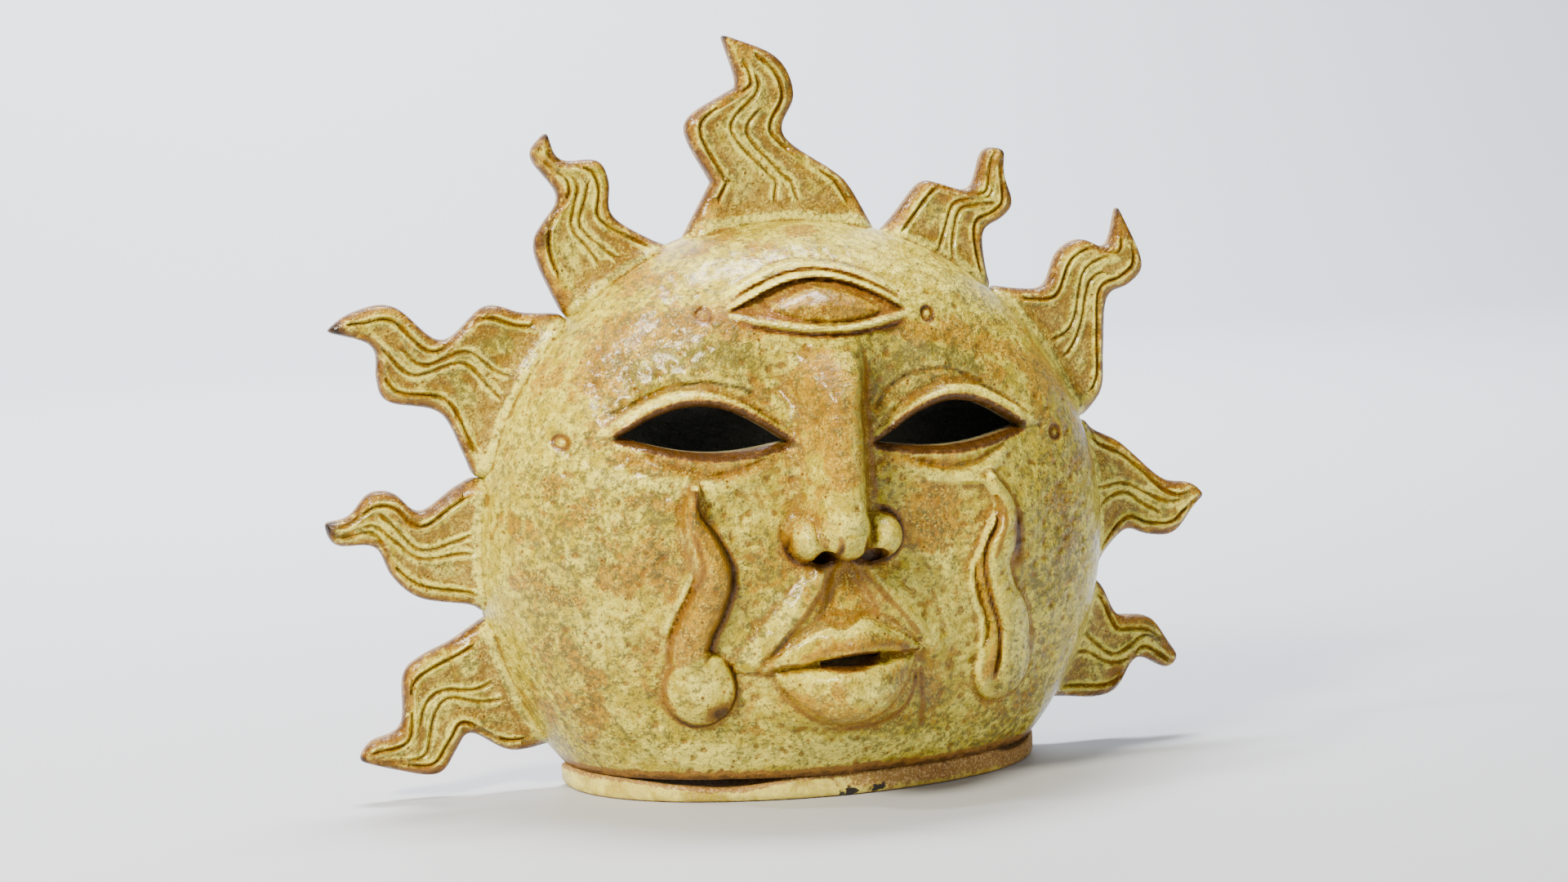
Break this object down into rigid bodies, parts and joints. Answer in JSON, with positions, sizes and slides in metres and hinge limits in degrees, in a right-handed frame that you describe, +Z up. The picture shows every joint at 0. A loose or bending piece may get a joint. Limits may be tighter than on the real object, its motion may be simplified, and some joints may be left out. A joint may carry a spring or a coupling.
{
  "type": "sun mask",
  "caption": "Glazed stoneware sun mask with a hollow dome face, flame rays, an eye on the forehead and raised tears, standing on a low base.",
  "frame": {"origin": "middle of the flat underside of the base", "axes": "+Z up, the face looks along -Y, +X to the viewer's right"},
  "size_m": [0.3325, 0.0954, 0.2692],
  "materials": {
    "glazed_face": "glossy mottled celadon, olive and amber glaze that breaks to brown on the edges",
    "glazed_base": "cream and amber glaze, worn to bare brown clay along the joint"
  },
  "bodies": {
    "root": {"mask": "glazed_face", "base": "glazed_base"}
  },
  "joints": []
}
